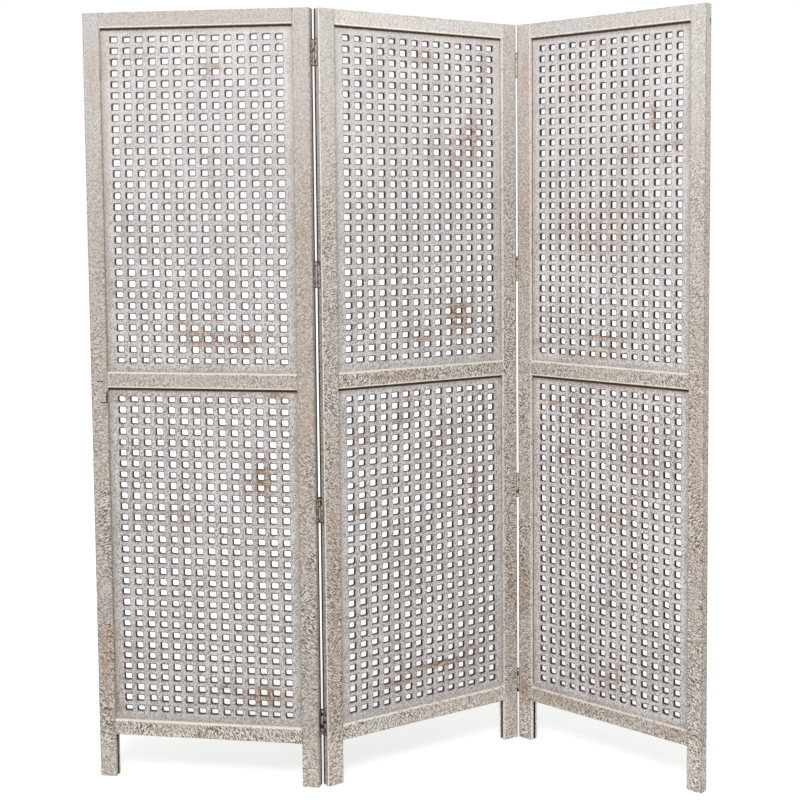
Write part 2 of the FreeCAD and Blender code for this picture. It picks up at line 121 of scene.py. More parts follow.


# Stains on the boards, where the wash has worn or rusted: column and row of holes from the upper
# left corner, reach in columns and rows, and strength.
BOARD_STAINS = {
    "left_panel_upper_board": (
        (2.6, 2, 1, 0.4, 0.5), (8.3, 3, 1, 0.4, 0.6), (8, 4, 0.3, 0.8, 0.5),
        (8, 11, 0.8, 0.3, 0.5), (8, 12.8, 0.3, 1.5, 0.5), (7.3, 27.4, 2, 0.7, 1),
        (10.5, 27.5, 1.4, 0.8, 0.9),
        (5.7, 25.8, 0.9, 0.8, 0.5), (0.8, 17.5, 0.4, 2.6, 0.4), (9, 22, 0.6, 1.5, 0.4),
    ),
    "left_panel_lower_board": (
        (12.8, 0, 0.8, 0.4, 1), (6.8, 1.5, 0.6, 0.6, 0.8), (11.6, 7.6, 0.6, 2.3, 1.3),
        (10.4, 8.4, 0.3, 1, 0.8), (3.8, 11, 2, 0.3, 0.5), (5.8, 12, 1, 1.6, 0.4),
        (-0.3, 29, 0.4, 1, 0.9), (11.3, 27.9, 1.6, 0.8, 1.2), (8.6, 27.2, 0.7, 0.6, 0.8),
        (1.1, 25.4, 0.6, 2.6, 0.4), (0.4, 0.3, 1, 0.5, 0.6), (4.4, -0.45, 2.4, 0.18, 1.2),
    ),
    "centre_panel_upper_board": (
        (11.8, 8.9, 0.7, 2.2, 1), (10.8, 9.4, 1.2, 0.3, 0.8), (7, 1.8, 1.2, 0.8, 0.6),
        (12.8, 3, 0.5, 2.6, 0.6), (2.7, 3.7, 0.7, 0.7, 0.4), (6, 4.6, 2, 0.5, 0.5),
        (10.5, 26, 1.3, 1.6, 1.2), (6.8, 27.6, 1.5, 0.8, 0.6), (8.3, 10.3, 0.7, 1.5, 0.4),
        (10.2, 11.6, 1.1, 1.5, 0.5),
    ),
    "centre_panel_lower_board": (
        (9.5, 4.8, 2, 1.5, 0.5), (5.1, 2.7, 1.1, 0.5, 0.7), (11.8, 10.5, 0.3, 4, 0.9),
        (1.4, 11, 1, 0.4, 0.9), (1.3, 4.3, 0.8, 0.5, 0.5), (4.7, 27.8, 1.4, 0.3, 1.3),
        (5, 26.9, 0.8, 0.6, 0.7), (9, 26.9, 2.7, 0.4, 1.1), (11, 26.3, 1.2, 0.8, 0.7),
        (4.8, 16, 2.8, 3, 0.25),
    ),
    "right_panel_upper_board": (
        (3.6, 5, 0.3, 2.4, 0.6), (4.8, 4.3, 0.3, 2.8, 0.5), (11.3, 7.7, 0.5, 1.4, 0.9),
        (12.8, 10.2, 1.6, 0.3, 0.8), (12.5, 11.7, 1.4, 0.2, 0.8), (8.6, 10.9, 1.4, 0.9, 0.5),
        (6.2, 17.8, 4.2, 2.8, 0.5), (0.5, 28.7, 1.4, 0.4, 1), (6.9, 27.8, 2, 0.25, 1.1),
        (6.9, 28.8, 1.4, 0.2, 1), (5.3, 29.6, 2.9, 0.4, 0.7), (6.2, 0.7, 0.5, 0.4, 0.6),
    ),
    "right_panel_lower_board": (
        (1.8, 1.7, 0.8, 0.8, 0.7), (4.3, 2.6, 0.7, 1, 0.7), (2.8, 6.9, 0.8, 1.2, 0.6),
        (6.5, -0.4, 6, 0.4, 0.7), (10, 5.5, 2.7, 2.8, 0.45), (7.7, 12, 1.9, 1.9, 0.45),
        (2.3, 21.2, 0.3, 2, 0.6), (7.9, 26.5, 0.2, 2.1, 0.9), (6.8, 28, 0.5, 1.5, 0.7),
        (10.9, 27.2, 0.2, 2.1, 0.9), (7, 20.7, 1.2, 0.6, 0.6),
    ),
}
# Stains on the bars, in millimetres: place along and across the bar, reach along and across.
BAR_STAINS = {
    "left_panel_top_rail": ((254, 16, 300, 30, 0.35),),
    "left_panel_left_stile": ((290, 17, 90, 14, 0.8), (1570, 20, 70, 12, 0.5)),
    "left_panel_right_stile": (
        (1420, 34, 40, 4, 0.6), (1000, 20, 450, 50, 0.4), (1500, 20, 200, 50, 0.3),
    ),
    "centre_panel_left_stile": ((500, 20, 260, 16, 0.6), (150, 20, 60, 18, 0.5)),
    "centre_panel_middle_rail": ((190, 20, 60, 12, 0.6),),
    "centre_panel_right_stile": ((1500, 20, 200, 50, 0.25), (395, 20, 60, 14, 0.5)),
    "right_panel_left_stile": (
        (130, 20, 45, 14, 0.9), (372, 16, 75, 12, 0.9),
        (1590, 22, 60, 12, 0.9), (1400, 20, 300, 50, 0.45),
    ),
    "right_panel_bottom_rail": ((440, 20, 30, 12, 0.7), (150, 20, 120, 12, 0.5)),
    "right_panel_right_stile": ((700, 22, 260, 12, 0.5),),
}

# Bars painted lighter than the rest, and the share by which they are lighter.
PALE_BARS = {
    "left_panel_bottom_rail": 0.14,
    "centre_panel_top_rail": 0.16,
    "centre_panel_bottom_rail": 0.13,
    "right_panel_right_stile": 0.03,
}


def smooth_noise(x, y, z):
    """Smooth noise from 0 to 1."""
    return 0.5 + 0.5 * noise.noise(Vector((x, y, z)))


def stain_at(x, z, stains):
    """Strongest of some stains, each an ellipse with a soft edge, at a point."""
    worst = 0.0
    for at_x, at_z, reach_x, reach_z, strength in stains:
        spread = math.hypot((x - at_x) / reach_x, (z - at_z) / reach_z)
        if spread < 1.5:
            worst = max(worst, strength * min(1.0, 1.5 - spread))
    return worst


class Skin:
    """Points, faces and per-point values of a piece, in a panel's frame. The values say how worn
    the wood is there, how much cream a bar's edge has as pale wash and painted highlight and how
    much tint a board's margin has, how much painted shade and dirt it has, how near a hole's rim
    it is, how stained it is, and how much lighter its bar is painted."""

    NAMES = ("wear", "sill", "shade", "rim", "stain", "pale")
    # Every piece has its own stretch of grain, this far along and across from the next.
    GRAIN_STEP = (613.0, 97.0)

    def __init__(self, seed, stains=(), pale=0.0):
        self.seed = seed
        self.stains = stains
        self.pale = pale
        self.points = []
        self.faces = []
        self.grain = []
        self.values = {name: [] for name in self.NAMES}

    def point(self, place, along, across, depth, **values):
        """Add a point. along, across and depth are its place in the wood's grain."""
        self.points.append(place)
        shift_along, shift_across = (self.seed * step for step in self.GRAIN_STEP)
        self.grain.append((along + shift_along, across + shift_across, depth))
        values["stain"] = stain_at(along, across, self.stains)
        values["pale"] = self.pale
        for name in self.NAMES:
            self.values[name].append(values.get(name, 0.0))
        return len(self.points) - 1

    def make(self, name, panel, node, material):
        mesh = bpy.data.meshes.new(name)
        mesh.from_pydata([tuple(c * MM for c in spot) for spot in self.points], [], self.faces)
        layer = mesh.attributes.new("grain", "FLOAT_VECTOR", "POINT")
        layer.data.foreach_set("vector", [c * MM for spot in self.grain for c in spot])
        for title, numbers in self.values.items():
            layer = mesh.attributes.new(title, "FLOAT", "POINT")
            layer.data.foreach_set("value", numbers)
        mesh.validate()
        mesh.update()
        mesh.materials.append(material)
        piece = bpy.data.objects.new(name, mesh)
        scene.collection.objects.link(piece)
        piece.matrix_world = panel_matrix(panel)
        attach(piece, f"{panel}_panel")
        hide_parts(node)


def bar_section(width, grooves, sills, hinge_face=None, pale_arris=False, dark_reach=0.0):
    """Section of a frame bar as points (u, v, inward u, inward v, roughness, values), with u
    across the bar from 0 to width and v from its front to its back. grooves names the edges, low
    or high, that are grooved for a board, and sills says how much cream an edge has, as pale wash
    and as a painted highlight where it catches the light. hinge_face is the face, front or back,
    beside which a stile's low edge is hinged; the arris on that face is painted dark as painted
    shade in the slot between the panels. A low edge hinged at the back is painted dark as painted
    shade as far as dark_reach from it, and pale_arris is for the arris across from the pins, which
    gets a cream painted highlight."""
    half = THICK / 2
    front_bulge = BULGE if hinge_face == "front" else 0.0
    back_bulge = BULGE if hinge_face == "back" else 0.0
    plain, worn = 0.3, 0.7
    points = []

    def add(u, v, inward, rough, **values):
        points.append((u, v, *inward, rough, values))

    def corner(u, v, side):
        """Three points round an arris. side is the edge that it belongs to."""
        out_u = 1 if u > width / 2 else -1
        out_v = 1 if v > 0 else -1
        values = {"wear": 0.3 if side in sills else 1.0, "sill": sills.get(side, 0.0)}
        ease, turn, roughness = PLAIN_EASE, 0.3, worn
        if side == "low" and hinge_face:
            ease, turn, roughness = JOINED_EASE, 0.5, 0
            # The arris beside the pins is painted dark as painted shade in the slot between the
            # panels.
            if out_v == (1 if hinge_face == "back" else -1):
                values = {"shade": 1.4 if hinge_face == "back" else 0.95}
            elif pale_arris:
                values = {"sill": 0.7}
        # A plain outer arris has a darker line of wear and painted shade.
        turned = values if side in grooves or hinge_face else {"wear": 0.5, "shade": 0.75}
        turn_u, turn_v = u - out_u * ease * turn, v - out_v * ease * turn
        three = [
            (u - out_u * ease, v, (-out_u * 0.5, -out_v), values),
            (turn_u, turn_v, (-out_u * 0.7, -out_v * 0.7), values),
            (u, v - out_v * ease, (-out_u, -out_v * 0.5), turned),
        ]
        if out_u * out_v > 0:
            three.reverse()
        for spot_u, spot_v, inward, spot_values in three:
            add(spot_u, spot_v, inward, roughness, **spot_values)

    def edge(side, direction):
        """The edge at u = 0 or width between its two arrises, from front to back or reversed."""
        outside = width if side == "high" else 0.0
        inward = -1 if side == "high" else 1
        lip = {"wear": 0.6, "shade": 0.3, "sill": sills.get(side, 0.0)}
        if side not in grooves:
            places = [(-half + ARRIS_REACH, 0.0), (0.0, 0.0), (half - ARRIS_REACH, 0.0)]
            # A low edge hinged at the back is painted dark as painted shade inside the slot, as
            # far as dark_reach from its back.
            if side == "low" and hinge_face == "back":
                dark_from = half - dark_reach
                places[1:] = [(dark_from - 1, 0.0), (dark_from, 1.4)]
            for v, shade in places[::direction]:
                share = (v + half) / THICK
                bulge = front_bulge * (1 - share) + back_bulge * share if side == "low" else 0.0
                add(outside - bulge, v, (inward, 0), 0 if bulge else plain, shade=shade)
            return
        floor = outside + inward * GROOVE_DEPTH
        behind_lip = outside + inward * LIP_DEPTH
        # Painted shade: a groove is painted dark inside, past its lip.
        dark = {"shade": 1.0}
        for u, v, values in (
            (outside, -GROOVE_HALF, lip), (behind_lip, -GROOVE_HALF, dark),
            (floor, -GROOVE_HALF, dark), (floor, GROOVE_HALF, dark),
            (behind_lip, GROOVE_HALF, dark), (outside, GROOVE_HALF, lip),
        )[::direction]:
            add(u, v, (0, 0), 0, **values)

    first_u, last_u = ARRIS_REACH, width - ARRIS_REACH
    across_face = [(u, 0.0) for u in (first_u, width * 0.3, width * 0.5, width * 0.7, last_u)]
    if "low" in sills:
        across_face[0:1] = [(first_u, 0.6 * sills["low"]), (first_u + ARRIS_FADE, 0.0)]
    if "high" in sills:
        across_face[-1:] = [(last_u - ARRIS_FADE, 0.0), (last_u, 0.6 * sills["high"])]
    corner(-front_bulge, -half, "low")
    for u, pale in across_face:
        add(u, -half, (0, 1), plain, sill=pale)
    corner(width, -half, "high")
    edge("high", 1)
    corner(width, half, "high")
    for u, pale in reversed(across_face):
        add(u, half, (0, -1), plain, sill=pale)
    corner(-back_bulge, half, "low")
    edge("low", -1)
    return points


def sweep(skin, section, stations, place, eased_ends):
    """Skin over a section carried along stations. place(along, u, v) is a point in the panel."""
    count = len(section)
    last = len(stations) - 1
    for step, along in enumerate(stations):
        tip = eased_ends and step in (0, last)
        for index, (u, v, inward_u, inward_v, rough, values) in enumerate(section):
            slow = smooth_noise(along * 0.021, index * 7.3, skin.seed)
            quick = smooth_noise(along * 0.16, index * 3.1, skin.seed + 40)
            nick = max(0.0, smooth_noise(along * 0.055, index * 11.7, skin.seed + 80) - 0.68) * 5
            push = rough * (0.45 * slow + 0.35 * quick + 1.3 * nick)
            if tip:
                push += END_EASE
                values = {**values, "wear": 1.0}
            spot = place(along, u + inward_u * push, v + inward_v * push)
            skin.point(spot, along, u, v, **values)
    for step in range(last):
        for index in range(count):
            a = step * count + index
            b = step * count + (index + 1) % count
            skin.faces.append((a, b, b + count, a + count))
    skin.faces.append(tuple(reversed(range(count))))
    skin.faces.append(tuple(last * count + index for index in range(count)))


def stations_along(start, end):
    """Places along a bar at which its section is set out."""
    count = max(2, round((end - start) / STATION_SPACING))
    inner = [start + (end - start) * index / count for index in range(1, count)]
    return [start, start + END_EASE] + inner + [end - END_EASE, end]


# The face beside which the hinges of each joined edge have their pins.
HINGE_FACES = {
    ("left", "right"): "back",
    ("centre", "left"): "back",
    ("centre", "right"): "front",
    ("right", "left"): "front",
}


def make_stile(panel, side, seed, material):
    name = f"{panel}_panel_{side}_stile"
    skin = Skin(seed, BAR_STAINS.get(name, ()), PALE_BARS.get(name, 0.0))
    hinge_face = HINGE_FACES.get((panel, side))
    # How far the painted shade in a joint's slot reaches over a hinged edge, in millimetres.
    reach = 8.0 if panel == "left" else 6.0
    # The inner edge of a stile hinged in front gets cream, as pale wash and painted highlight.
    sills = {"high": 0.5} if hinge_face == "front" else {}
    section = bar_section(STILE, ("high",), sills, hinge_face, panel == "centre", reach)

    def place(along, u, v):
        return (WIDTH - u if side == "right" else u, v, along)

    if side == "right":
        section.reverse()
    sweep(skin, section, stations_along(0, HEIGHT), place, True)
    skin.make(f"{name}_wood", panel, name, material)


def make_rail(panel, kind, seed, material):
    """Rail between its shoulders, with the stubs that fill the stiles' grooves beside it."""
    name = f"{panel}_panel_{kind}"
    skin = Skin(seed, BAR_STAINS.get(name, ()), PALE_BARS.get(name, 0.0))
    low, high = RAILS[kind]
    grooves = {
        "bottom_rail": ("high",),
        "middle_rail": ("low", "high"),
        "top_rail": ("low",),
    }[kind]
    # Cream on each rail's edges, as pale wash and painted highlight.
    sills = {
        "bottom_rail": {"high": 1.0 if panel == "left" else 0.6},
        "middle_rail": {"low": 1.0, "high": 1.0},
        "top_rail": {"low": 0.7},
    }[kind]
    section = bar_section(high - low, grooves, sills)
    section.reverse()

    def place(along, u, v):
        return (along, v, low + u)

    sweep(skin, section, stations_along(STILE, WIDTH - STILE), place, False)
    stub_low = low + (GROOVE_DEPTH if "low" in grooves else 0)
    stub_high = high - (GROOVE_DEPTH if "high" in grooves else 0)
    corners = ((0, -BOARD_HALF), (1, -BOARD_HALF), (1, BOARD_HALF), (0, BOARD_HALF))
    for left in (STILE - HAUNCH, WIDTH - STILE):
        first = len(skin.points)
        for z in (stub_low, stub_high):
            for far, y in corners:
                x = left + far * HAUNCH
                skin.point((x, y, z), x, z - low, y)
        sides = [(index, (index + 1) % 4, (index + 1) % 4 + 4, index + 4) for index in range(4)]
        for face in [(3, 2, 1, 0), (4, 5, 6, 7), *sides]:
            skin.faces.append(tuple(first + corner for corner in face))
    skin.make(f"{name}_wood", panel, name, material)


# How dark the arris of a hole is at its points, which run round from the lower left corner.
RIM_SHARES = (0.9, 0.94, 0.96, 0.94, 0.9, 0.86, 0.84, 0.86, 0.95, 1, 1, 1, 0.95, 0.86, 0.84, 0.86)
# Shares of the common hole size that the boards' holes are cut to, across and up.
HOLE_SHARES = {
    "left_panel_upper_board": (1, 0.93),
    "left_panel_lower_board": (1, 1),
    "centre_panel_upper_board": (1, 0.93),
    "centre_panel_lower_board": (1, 1),
    "right_panel_upper_board": (0.96, 0.93),
    "right_panel_lower_board": (0.94, 0.98),
}


# How much painted shade and dirt darken the boards along their upright edges, beside the stiles.
SIDE_SHADE_AND_DIRT = {"left": 0.48, "centre": 0.66, "right": 0.8}


def make_board(panel, opening, seed, material):
    """Pierced board: a net of quads with rings of points round every hole, each hole a little
    different from its neighbours as the saw and file left them."""
    name = f"{panel}_panel_{opening}"
    draw = random.Random(seed)
    low, high = OPENINGS[opening]
    share_x, share_z = HOLE_SHARES[name]
    middle_x, middle_z = WIDTH / 2, (low + high) / 2
    stains = [
        (middle_z + (ROWS / 2 - row) * PITCH_Z, middle_x + (column - COLUMNS / 2) * PITCH_X,
         rows * PITCH_Z, columns * PITCH_X, strength)
        for column, row, columns, rows, strength in BOARD_STAINS[name]
    ]
    skin = Skin(seed, stains)

    def point(x, z, y, **values):
        dent = 0.0
        if abs(abs(y) - BOARD_HALF) < 0.01:
            dent = 0.28 * smooth_noise(x * 0.11, z * 0.11, seed + (9 if y > 0 else 0))
        spot = (middle_x + x, y - math.copysign(dent, y), middle_z + z)
        return skin.point(spot, spot[2], spot[0], y, **values)

    quarters = (0.27, 0.5, 0.73)
    xs = [(i - COLUMNS / 2) * PITCH_X for i in range(COLUMNS + 1)]
    zs = [(j - ROWS / 2) * PITCH_Z for j in range(ROWS + 1)]
    layers = []
    for y in (-BOARD_HALF, BOARD_HALF):
        node = {(i, j): point(x, z, y) for i, x in enumerate(xs) for j, z in enumerate(zs)}
        across = {
            (i, j): [point(xs[i] + share * PITCH_X, z, y) for share in quarters]
            for i in range(COLUMNS) for j, z in enumerate(zs)
        }
        upward = {
            (i, j): [point(x, zs[j] + share * PITCH_Z, y) for share in quarters]
            for i, x in enumerate(xs) for j in range(ROWS)
        }
        layers.append((node, across, upward))

    def cell_edge(layer, i, j):
        node, across, upward = layer
        return (
            [node[i, j], *across[i, j], node[i + 1, j], *upward[i + 1, j]]
            + [node[i + 1, j + 1], *reversed(across[i, j + 1]), node[i, j + 1]]
            + [*reversed(upward[i, j])]
        )

    def hole_ring(cx, cz, a, b, r, y, bulge, wear):
        k = r * (1 - math.sqrt(0.5))
        outline = [
            (-a + k, -b + k), (-a + r, -b), (0.0, -b - bulge[0]), (a - r, -b),
            (a - k, -b + k), (a, -b + r), (a + bulge[1], 0.0), (a, b - r),
            (a - k, b - k), (a - r, b), (0.0, b + bulge[2]), (-a + r, b),
            (-a + k, b - k), (-a, b - r), (-a - bulge[3], 0.0), (-a, -b + r),
        ]
        return [
            point(cx + x, cz + z, y, wear=wear, rim=share)
            for (x, z), share in zip(outline, RIM_SHARES)
        ]

    for i in range(COLUMNS):
        for j in range(ROWS):
            cx = (xs[i] + xs[i + 1]) / 2 + draw.uniform(-0.5, 0.5)
            cz = (zs[j] + zs[j + 1]) / 2 + draw.uniform(-0.45, 0.45)
            a = HOLE_X / 2 * share_x * draw.uniform(0.92, 1.06)
            b = HOLE_Z / 2 * share_z * draw.uniform(0.9, 1.08)
            if j in (0, ROWS - 1):
                b *= 0.84
            r = draw.uniform(1.4, 3.2)
            rim = draw.uniform(0.4, 0.8)
            bulge = [draw.uniform(-0.3, 0.35) for _ in range(4)]
            lean_x, lean_z = draw.uniform(-0.3, 0.3), draw.uniform(-0.3, 0.3)
            back_x, back_z = cx + lean_x, cz + lean_z
            rings = [
                hole_ring(cx, cz, a + rim, b + rim, r + rim, -BOARD_HALF, bulge, 1.0),
                hole_ring(cx, cz, a, b, r, -BOARD_HALF + rim, bulge, 1.0),
                hole_ring(back_x, back_z, a, b, r, BOARD_HALF - rim, bulge, 1.0),
                hole_ring(back_x, back_z, a + rim, b + rim, r + rim, BOARD_HALF, bulge, 1.0),
            ]
            bands = [cell_edge(layers[0], i, j), *rings, cell_edge(layers[1], i, j)]
            for outer, inner in zip(bands, bands[1:]):
                for k in range(len(RIM_SHARES)):
                    n = (k + 1) % len(RIM_SHARES)
                    skin.faces.append((outer[k], outer[n], inner[n], inner[k]))

    # Past the outermost cells come three loops: just inside the frame, at its edge, where the
    # board is painted dark under the rail above as painted shade and dirt, and the rim in the
    # grooves.
    half_x = WIDTH / 2 - STILE
    half_z = (high - low) / 2
    shaded_and_dirty_top = (-8.5, -4.6) if opening == "lower_board" else (-9.5, -2.8)
    margins = ((-4.0, shaded_and_dirty_top[0], 0.0), (-1.0, shaded_and_dirty_top[1], 1.0), (TONGUE, TONGUE, 1.0))
    borders = []
    for (node, across, upward), y in zip(layers, (-BOARD_HALF, BOARD_HALF)):
        loop = []
        for i in range(COLUMNS):
            loop += [node[i, 0], *across[i, 0]]
        for j in range(ROWS):
            loop += [node[COLUMNS, j], *upward[COLUMNS, j]]
        for i in reversed(range(COLUMNS)):
            loop += [node[i + 1, ROWS], *reversed(across[i, ROWS])]
        for j in reversed(range(ROWS)):
            loop += [node[0, j + 1], *reversed(upward[0, j])]
        spots = [skin.points[index] for index in loop]
        places = [(spot[0] - middle_x, spot[2] - middle_z) for spot in spots]
        loops = [loop]
        for margin, upper_margin, shade_and_dirt in margins:
            ring = []
            for x, z in places:
                dark = 1.0 if z > zs[-1] - 1 else 0.35 if z < zs[0] + 1 else SIDE_SHADE_AND_DIRT[panel]
                tall = half_z + (upper_margin if z > 0 else margin)
                spot_x = x * (half_x + margin) / xs[-1]
                spot_z = z * tall / zs[-1]
                ring.append(point(spot_x, spot_z, y, shade=shade_and_dirt * dark, sill=1.0))
            loops.append(ring)
        borders.append(loops)
    front, back = borders
    total = len(front[0])
    for k in range(total):
        n = (k + 1) % total
        for inner, outer in zip(front, front[1:]):
            skin.faces.append((outer[k], outer[n], inner[n], inner[k]))
        for inner, outer in zip(back, back[1:]):
            skin.faces.append((inner[k], inner[n], outer[n], outer[k]))
        skin.faces.append((back[-1][k], back[-1][n], front[-1][n], front[-1][k]))
    skin.make(f"{name}_jali", panel, name, material)


def rgb(red, green, blue):
    """Colour as it looks on a screen, 0 to 255, as the values a shader takes."""
    def linear(level):
        level /= 255
        return level / 12.92 if level <= 0.04045 else ((level + 0.055) / 1.055) ** 2.4
    return (linear(red), linear(green), linear(blue), 1.0)


class Graph:
    """Short ways to write a material's nodes."""

    def __init__(self, name):
        self.material = bpy.data.materials.new(name)
        self.material.use_nodes = True
        self.tree = self.material.node_tree
        self.shader = self.tree.nodes["Principled BSDF"]

    def node(self, kind, **settings):
        made = self.tree.nodes.new(kind)
        for key, setting in settings.items():
            setattr(made, key, setting)
        return made

    def feed(self, socket, source):
        if isinstance(source, bpy.types.NodeSocket):
            self.tree.links.new(source, socket)
        else:
            socket.default_value = source

    def attribute(self, name, output="Fac"):
        return self.node("ShaderNodeAttribute", attribute_name=name).outputs[output]

    def place(self):
        """Place on the surface in the piece's own frame, in metres."""
        return self.node("ShaderNodeTexCoord").outputs["Object"]

    def part(self, vector, axis):
        made = self.node("ShaderNodeSeparateXYZ")
        self.feed(made.inputs[0], vector)
        return made.outputs[axis]

    def math(self, operation, first, second=0.0, third=0.0):
        made = self.node("ShaderNodeMath", operation=operation)
        for socket, source in zip(made.inputs, (first, second, third)):
            self.feed(socket, source)
        return made.outputs[0]

    def times(self, *sources):
        product = sources[0]
        for source in sources[1:]:
            product = self.math("MULTIPLY", product, source)
        return product

    def measured(self, vector, sizes, start=(0, 0, 0), lean=0.0):
        """Place counted in units of sizes from start, along axes that lean by some degrees."""
        made = self.node("ShaderNodeMapping", vector_type="TEXTURE")
        self.feed(made.inputs["Vector"], vector)
        made.inputs["Scale"].default_value = sizes
        made.inputs["Location"].default_value = start
        made.inputs["Rotation"].default_value = (0, 0, math.radians(lean))
        return made.outputs[0]

    def noise(self, vector, sizes, detail=2.0, rough=0.5, lean=0.0, start=(0, 0, 0)):
        """Noise whose blots are about as large as sizes."""
        made = self.node("ShaderNodeTexNoise")
        self.feed(made.inputs["Vector"], self.measured(vector, sizes, start, lean))
        made.inputs["Scale"].default_value = 1.0
        made.inputs["Detail"].default_value = detail
        made.inputs["Roughness"].default_value = rough
        return made.outputs["Fac"]

    def between(self, source, low, high, out_low=0.0, out_high=1.0):
        """Smooth step from out_low, where source is low, to out_high, where it is high."""
        made = self.node("ShaderNodeMapRange", interpolation_type="SMOOTHSTEP")
        for title, number in (("Value", source), ("From Min", low), ("From Max", high),
                              ("To Min", out_low), ("To Max", out_high)):
            self.feed(made.inputs[title], number)
        return made.outputs["Result"]

    def mix(self, share, first, second):
        made = self.node("ShaderNodeMix", data_type="RGBA")
        self.feed(made.inputs["Factor"], share)
        colours = [socket for socket in made.inputs if socket.type == "RGBA"]
        self.feed(colours[0], first)
        self.feed(colours[1], second)
        return next(socket for socket in made.outputs if socket.type == "RGBA")

    def scaled(self, colour, share):
        """Colour made darker or lighter by a share."""
        made = self.node("ShaderNodeVectorMath", operation="SCALE")
        self.feed(made.inputs[0], colour)
        self.feed(made.inputs["Scale"], share)
        return made.outputs[0]

    def length(self, vector):
        made = self.node("ShaderNodeVectorMath", operation="LENGTH")
        self.feed(made.inputs[0], vector)
        return made.outputs["Value"]

    def spot(self, place, centre, reach):
        """1 inside an ellipsoid and 0 outside."""
        return self.between(self.length(self.measured(place, reach, centre)), 1.0, 0.6)

    def finish(self, colour, height, distance, strength, roughness):
        self.feed(self.shader.inputs["Base Color"], colour)
        self.shader.inputs["Roughness"].default_value = roughness
        self.shader.inputs["Specular IOR Level"].default_value = 0.25
        bump = self.node("ShaderNodeBump")
        bump.inputs["Distance"].default_value = distance
        bump.inputs["Strength"].default_value = strength
        self.feed(bump.inputs["Height"], height)
        self.feed(self.shader.inputs["Normal"], bump.outputs["Normal"])
        return self.material


# Heights, in metres, between which the wash turns cleaner, and between which the wood is painted
# lighter upwards as painted light from above and darker lower down as painted shade.
CLEAN_AND_LIT_HEIGHTS = (1.15, 1.62)
# Heights of the feet's upper and lower half, between which they are painted lighter towards the
# floor.
FEET = (0.13, 0.07)
# Length, width and depth of a saw mark, and how steeply the two sets lean, in degrees.
SAW_MARK = (0.0082, 0.0019, 0.0019)
SAW_LEANS = (62, -56)

WARM_WASH = rgb(207, 197, 185)
PALE_WASH = rgb(208, 201, 194)
CLEAN_WASH = rgb(209, 204, 200)
SAW_DARK = rgb(76, 58, 44)
SAW_BROWN = rgb(114, 95, 78)
SAW_RIDGE = rgb(244, 238, 230)
DARK_GRIT = rgb(108, 90, 77)
PALE_GRIT = rgb(238, 233, 227)
STREAK = rgb(152, 132, 112)
FRAME_STAIN = rgb(170, 128, 92)
WORN_WOOD = rgb(150, 127, 104)
CREAM_WASH_AND_HIGHLIGHT = rgb(248, 241, 231)
FRAME_SHADE_AND_DIRT = rgb(70, 55, 45)
JOINT_SLOT_SHADE = rgb(44, 34, 29)
CRACK = rgb(60, 46, 38)


